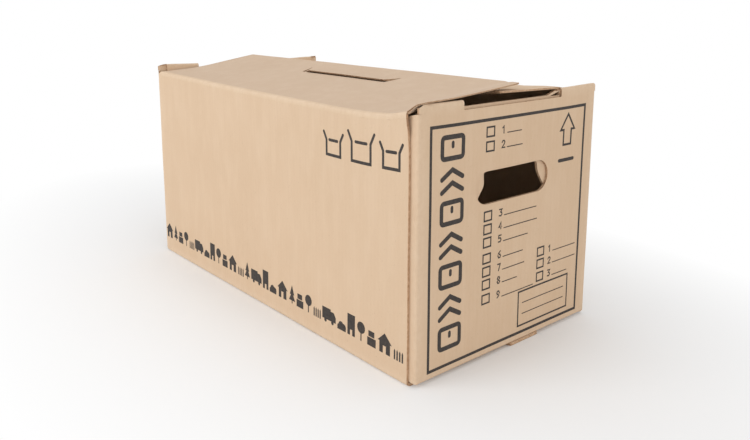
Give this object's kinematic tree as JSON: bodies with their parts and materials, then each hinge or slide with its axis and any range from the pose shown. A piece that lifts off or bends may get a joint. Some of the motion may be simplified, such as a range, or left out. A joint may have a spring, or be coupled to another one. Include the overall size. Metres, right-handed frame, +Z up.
{
  "type": "moving box",
  "caption": "Rectangular corrugated moving box with double ends, oval hand holes, an interlocked bottom and a front top flap that opens on its fold.",
  "frame": {"origin": "under the middle of the bottom, on the surface that the box stands on", "axes": "+X along the length, towards the end with the glued joint at its near corner; +Y across the width, from the front top flap's fold to the other side; +Z up"},
  "size_m": [0.6, 0.31, 0.3169],
  "materials": {
    "kraft_board": "matte",
    "kraft_board_top": "matte"
  },
  "bodies": {
    "carton": {"carton": "kraft_board"},
    "front_top_flap": {"front_top_flap": "kraft_board_top"}
  },
  "joints": [
    {"name": "front_top_flap_fold", "type": "hinge", "parent": "carton", "child": "front_top_flap", "pos_m": [0, -0.155, 0.294], "axis": [1, 0, 0], "range_deg": [0, 180]}
  ]
}
